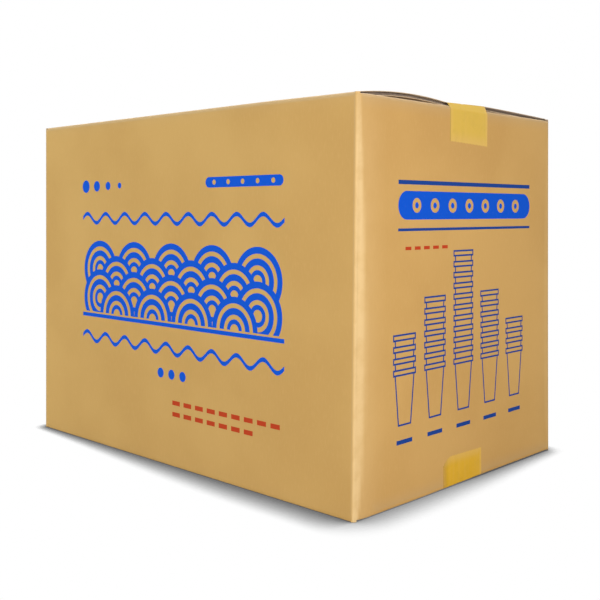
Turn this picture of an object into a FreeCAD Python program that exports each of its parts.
import FreeCAD, Part
import math
import os

# Corrugated shipping carton, packed, closed and taped, in millimetres.
# It is a regular slotted container: four panels, an upright joint, and eight flaps of one
# depth. The short end flaps are folded in first and the long flaps close over them.
# X runs along the long panels, Y across them and Z up. The origin is on the floor, under the
# middle of the carton. The front long panel faces -Y, and one end panel faces +X.

# Outside of the closed carton, from fold to fold
length = 384.0
width = 254.0
fold_height = 281.0

# Single-wall board: two liners and the fluted medium between them
board = 3.0
liner = 0.3
medium = 0.25
open_depth = 2.5            # how far a cut edge is open between its liners
corner_radius = 3.2         # upright folds between the panels

# Slots between the flaps, and where the end panels' folds lie against the long ones
slot_reach = 3.5            # from the carton's outer face to the side of a slot
slot_drop = 0.2             # from a long fold to the cut board that stands in a corner
end_fold_drop = 0.5         # end panels' top folds lie this far below the long folds
end_fold_rise = 1.6         # end panels' bottom folds stand this far above the long folds
seam_gap = 1.5              # between the free edges of a pair of long flaps

# Bow of the top flaps, which the end flaps and the load hold up: place from the outer face,
# and rise above the fold
front_bow_in = 64.0
front_bow_rise = 4.5
back_bow_in = 49.0
back_bow_rise = 2.4

# Packing tape along both seams and down over the end panels
tape_width = 50.0
tape_film = 0.08
top_tape_shift = 5.4        # middle of the top tape, off the seam
bottom_tape_shift = -3.3
top_tape_front_rise = 2.3   # flaps' height above the fold under the tape's two edges
top_tape_back_rise = 3.5
top_drop_front = 26.8       # tape end below the fold, at its two edges
top_drop_back = 28.5
bottom_climb_front = 23.5   # tape end above the floor, at its two edges
bottom_climb_back = 22.4
tooth_pitch = 2.0           # the dispenser's blade leaves small teeth
tooth_depth = 0.8

# Places that follow from those sizes
half_length = length / 2
half_width = width / 2
flap_end = half_length - slot_reach
flap_depth = half_width - seam_gap / 2
end_fold_high = fold_height - end_fold_drop
end_fold_low = tape_film + end_fold_rise
flute_gap = (board - 2 * liner - medium) / 2
top_tape_front = top_tape_shift - tape_width / 2
top_tape_back = top_tape_shift + tape_width / 2
bottom_tape_front = bottom_tape_shift - tape_width / 2
bottom_tape_back = bottom_tape_shift + tape_width / 2
spare = board               # overlap between tools and work, and between fused pieces

FRONT = -1
BACK = 1
UP = 1
DOWN = -1


def point(x, y, z):
    return FreeCAD.Vector(x, y, z)


def block(x_span, y_span, z_span):
    low = point(min(x_span), min(y_span), min(z_span))
    high = point(max(x_span), max(y_span), max(z_span))
    size = high - low
    return Part.makeBox(size.x, size.y, size.z, low)


def rounded_bar(x_span, y_span, z_span, axis, radius):
    """A block whose four edges along one axis are rounded."""
    bar = block(x_span, y_span, z_span)
    edges = [edge for edge in bar.Edges if abs(edge.Curve.Direction.dot(axis)) > 0.5]
    return bar.makeFillet(radius, edges)


def lines(points):
    """Straight edges from each point to the next."""
    return [Part.LineSegment(a, b).toShape() for a, b in zip(points, points[1:])]


def extruded(edges, x_span):
    """The solid that a closed outline in the YZ plane makes between two places along X."""
    face = Part.Face(Part.Wire(edges))
    face.translate(point(min(x_span), 0, 0))
    return face.extrude(point(max(x_span) - min(x_span), 0, 0))


def both_ends(inner, outer):
    """The same stretch of X, at each end of the carton."""
    return [(inner, outer), (-outer, -inner)]


# The four panels. Seen from above they turn with the corner radius, and seen from the side
# and from the end they roll over into the flaps. The board is folded about its inner face,
# so the outside of a rolled score has the board's thickness as its radius.

def panel_prism(z_span):
    """Plan of the panels, with the joint in the back corner of the -X end."""
    prism = rounded_bar(
        (-half_length, half_length), (-half_width, half_width), z_span,
        point(0, 0, 1), corner_radius)
    return prism.cut(joint_recess(z_span))


def joint_recess(z_span):
    """What is missing at the joint, where the back panel's glued tab goes behind the end
    panel: the end panel stops with a cut edge, and the back panel's fold rolls in past it."""
    roll_x = -half_length + board + corner_radius
    roll_y = half_width - corner_radius
    corner = block(
        (-half_length - spare, roll_x), (roll_y, half_width + spare), z_span)
    height = max(z_span) - min(z_span)
    roll = Part.makeCylinder(corner_radius, height, point(roll_x, roll_y, min(z_span)))
    return corner.cut(roll)


def filled_panels():
    """Panels, end flaps and load as one body, inside the rolled scores of all four sides."""
    z_span = (tape_film, fold_height)
    side_view = rounded_bar(
        (-half_length, half_length), (-half_width, half_width),
        (end_fold_low, end_fold_high), point(0, 1, 0), board)
    return panel_prism(z_span).common(side_view).common(end_view(half_length))


def end_view(x_reach):
    return rounded_bar(
        (-x_reach, x_reach), (-half_width, half_width), (tape_film, fold_height),
        point(1, 0, 0), board)


def long_folds():
    """Rolled scores of the two long panels, as long as their flaps."""
    folds = []
    for side in (FRONT, BACK):
        y_span = (side * half_width, side * (half_width - board))
        for z_span in ((tape_film, tape_film + board), (fold_height - board, fold_height)):
            folds.append(block((-flap_end, flap_end), y_span, z_span))
    return end_view(flap_end).common(Part.makeCompound(folds))


def corner_posts():
    """The folded corners between the slots: board that no flap leaves, so it stands up
    square and cut. The corner with the joint has none."""
    posts = []
    prism = panel_prism((tape_film + slot_drop, fold_height - slot_drop))
    for x_side, y_side in ((1, FRONT), (1, BACK), (-1, FRONT)):
        posts.append(prism.common(block(
            (x_side * half_length, x_side * flap_end),
            (y_side * half_width, y_side * (half_width - slot_reach)),
            (0, fold_height))))
    return posts


def joint_edge_openings():
    """The gaps between liners and medium in the end panel's cut edge at the joint."""
    edge_y = half_width - corner_radius
    z_span = (end_fold_low + board, end_fold_high - board)
    gaps = []
    for start in gap_starts():
        x = -half_length + start
        gaps.append(block((x, x + flute_gap), (edge_y - open_depth, edge_y + spare), z_span))
    return gaps


def gap_starts():
    """Depths below the outer face at which the two gaps of a cut edge begin."""
    return (liner, liner + flute_gap + medium)


# The long top flaps. Each rises from its fold in a bow and lies straight under the tape.

def seam_level(y):
    """Height of the flaps' outer face where they lie straight under the top tape."""
    share = (y - top_tape_front) / tape_width
    rise = top_tape_front_rise + share * (top_tape_back_rise - top_tape_front_rise)
    return fold_height + rise


def top_flap_line(side, depth):
    """Edges of one top flap's face at a depth below its outside, from fold to free edge."""
    if side == FRONT:
        bow_y = -half_width + front_bow_in
        bow_rise = front_bow_rise
        tape_y = top_tape_front
    else:
        bow_y = half_width - back_bow_in
        bow_rise = back_bow_rise
        tape_y = top_tape_back
    free_y = side * seam_gap / 2
    fold = point(0, side * (half_width - board), fold_height - depth)
    bow = point(0, bow_y, fold_height + bow_rise - depth)
    tape_edge = point(0, tape_y, seam_level(tape_y) - depth)
    free_edge = point(0, free_y, seam_level(free_y) - depth)
    return [Part.Arc(fold, bow, tape_edge).toShape()] + lines([tape_edge, free_edge])


def ends_of(edges):
    return edges[0].firstVertex().Point, edges[-1].lastVertex().Point


def top_flap_layer(side, upper_depth, lower_depth, x_span):
    """The part of a top flap between two depths below its outer face."""
    upper = top_flap_line(side, upper_depth)
    lower = top_flap_line(side, lower_depth)
    upper_fold, upper_free = ends_of(upper)
    lower_fold, lower_free = ends_of(lower)
    closing = lines([upper_free, lower_free]) + lines([upper_fold, lower_fold])
    return extruded(Part.__sortEdges__(upper + lower + closing), x_span)


def top_flap(side):
    flap = top_flap_layer(side, 0, board, (-flap_end, flap_end))
    gaps = []
    for start in gap_starts():
        for x_span in both_ends(flap_end - open_depth, flap_end + spare):
            gaps.append(top_flap_layer(side, start, start + flute_gap, x_span))
    return flap.cut(Part.makeCompound(gaps))


def load_under_flaps():
    """The load between the end flaps reaches up to the long flaps' inner faces."""
    front = top_flap_line(FRONT, board)
    back = top_flap_line(BACK, board)
    front_fold, front_free = ends_of(front)
    back_fold, back_free = ends_of(back)
    foot = point(0, 0, -board)
    closing = lines([front_free, back_free])
    closing += lines([front_fold, front_fold + foot, back_fold + foot, back_fold])
    reach = half_length - flap_depth
    return extruded(Part.__sortEdges__(front + back + closing), (-reach, reach))


# The long bottom flaps lie flat under the load.

def bottom_flap_layer(side, lower_depth, upper_depth, x_span):
    y_span = (side * (half_width - board), side * seam_gap / 2)
    return block(x_span, y_span, (tape_film + lower_depth, tape_film + upper_depth))


def bottom_flap(side):
    flap = bottom_flap_layer(side, 0, board, (-flap_end, flap_end))
    gaps = []
    for start in gap_starts():
        for x_span in both_ends(flap_end - open_depth, flap_end + spare):
            gaps.append(bottom_flap_layer(side, start, start + flute_gap, x_span))
    return flap.cut(Part.makeCompound(gaps))


def carton():
    body = filled_panels().cut(Part.makeCompound(joint_edge_openings()))
    pieces = [long_folds(), load_under_flaps()] + corner_posts()
    for side in (FRONT, BACK):
        pieces.append(top_flap(side))
        pieces.append(bottom_flap(side))
    return body.fuse(pieces).removeSplitter()


# The tapes. Each lies on a pair of long flaps, bends over the flaps' cut ends, spans the
# step down to the end panel's rolled score and is stuck down the panel.

def wrap_angle(flap_level, fold_level, way):
    """Turn about the rolled score's centre over which the tape lies on the score, before it
    leaves in a straight line for the flap's end."""
    inset = slot_reach - board
    climb = way * (flap_level - fold_level) + board
    lean = math.atan2(inset, climb)
    return math.pi / 2 + lean - math.acos(board / math.hypot(inset, climb))


def tape_face(y, flap_level, fold_level, tip_level, way, wrap, lift, x_side):
    """Edges of one face of the tape, from its end on a panel to the end of the flap. The
    lift is 0 for the stuck face and the film's thickness for the outer face."""
    hub_x = half_length - board
    hub_z = fold_level - way * board
    radius = board + lift

    def on_score(angle):
        return hub_x + radius * math.cos(angle), hub_z + way * radius * math.sin(angle)

    leave_x = hub_x + board * math.cos(wrap)
    leave_z = hub_z + way * board * math.sin(wrap)
    bend = math.atan2(way * (flap_level - leave_z), leave_x - flap_end)
    corner_x = flap_end + lift * math.tan(bend / 2)
    places = [
        (half_length + lift, tip_level),
        on_score(0),
        on_score(wrap / 2),
        on_score(wrap),
        (corner_x, flap_level + way * lift)]
    tip, foot, middle, head, corner = [point(x_side * x, y, z) for x, z in places]
    arc = Part.Arc(foot, middle, head).toShape()
    return lines([tip, foot]) + [arc] + lines([head, corner])


def tape_section(y, flap_level, fold_level, tip_level, way, wrap):
    """Closed outline of the film, seen along Y."""
    edges = []
    tips = []
    for lift in (0, tape_film):
        right = tape_face(y, flap_level, fold_level, tip_level, way, wrap, lift, 1)
        left = tape_face(y, flap_level, fold_level, tip_level, way, wrap, lift, -1)
        right_tip, right_corner = ends_of(right)
        left_tip, left_corner = ends_of(left)
        edges += right + left + lines([right_corner, left_corner])
        tips.append((right_tip, left_tip))
    edges += lines([tips[0][0], tips[1][0]])
    edges += lines([tips[0][1], tips[1][1]])
    return Part.Wire(Part.__sortEdges__(edges))


def blade_cut(y_front, y_back, level_front, level_back, way):
    """What the dispenser's blade takes off both ends of a tape: all beyond a toothed line."""
    teeth = round(tape_width / tooth_pitch)
    beyond = -way * (abs(level_back - level_front) + spare)
    outline = [point(0, y_front, level_front + beyond)]
    for step in range(2 * teeth + 1):
        share = step / (2 * teeth)
        y = y_front + share * (y_back - y_front)
        level = level_front + share * (level_back - level_front)
        bite = tooth_depth if step % 2 else 0
        outline.append(point(0, y, level + way * bite))
    outline.append(point(0, y_back, level_front + beyond))
    reach = half_length + spare
    return extruded(lines(outline + outline[:1]), (-reach, reach))


def top_tape():
    front_level = seam_level(top_tape_front)
    back_level = seam_level(top_tape_back)
    tip_front = fold_height - top_drop_front
    tip_back = fold_height - top_drop_back
    tip = min(tip_front, tip_back)
    wrap = wrap_angle(min(front_level, back_level), end_fold_high, UP)
    sections = [
        tape_section(top_tape_front, front_level, end_fold_high, tip, UP, wrap),
        tape_section(top_tape_back, back_level, end_fold_high, tip, UP, wrap)]
    film = Part.makeLoft(sections, True, True)
    return film.cut(blade_cut(top_tape_front, top_tape_back, tip_front, tip_back, UP))


def bottom_tape():
    tip = max(bottom_climb_front, bottom_climb_back)
    wrap = wrap_angle(tape_film, end_fold_low, DOWN)
    section = tape_section(bottom_tape_front, tape_film, end_fold_low, tip, DOWN, wrap)
    film = Part.Face(section).extrude(point(0, tape_width, 0))
    return film.cut(blade_cut(
        bottom_tape_front, bottom_tape_back, bottom_climb_front, bottom_climb_back, DOWN))


os.makedirs("parts", exist_ok=True)
for name, shape in (
        ("carton", carton()),
        ("tape_top", top_tape()),
        ("tape_bottom", bottom_tape())):
    print(name, "solids", len(shape.Solids), "valid", shape.isValid(),
          "volume", round(shape.Volume, 1), "faces", len(shape.Faces))
    shape.exportStep("parts/" + name + ".step")
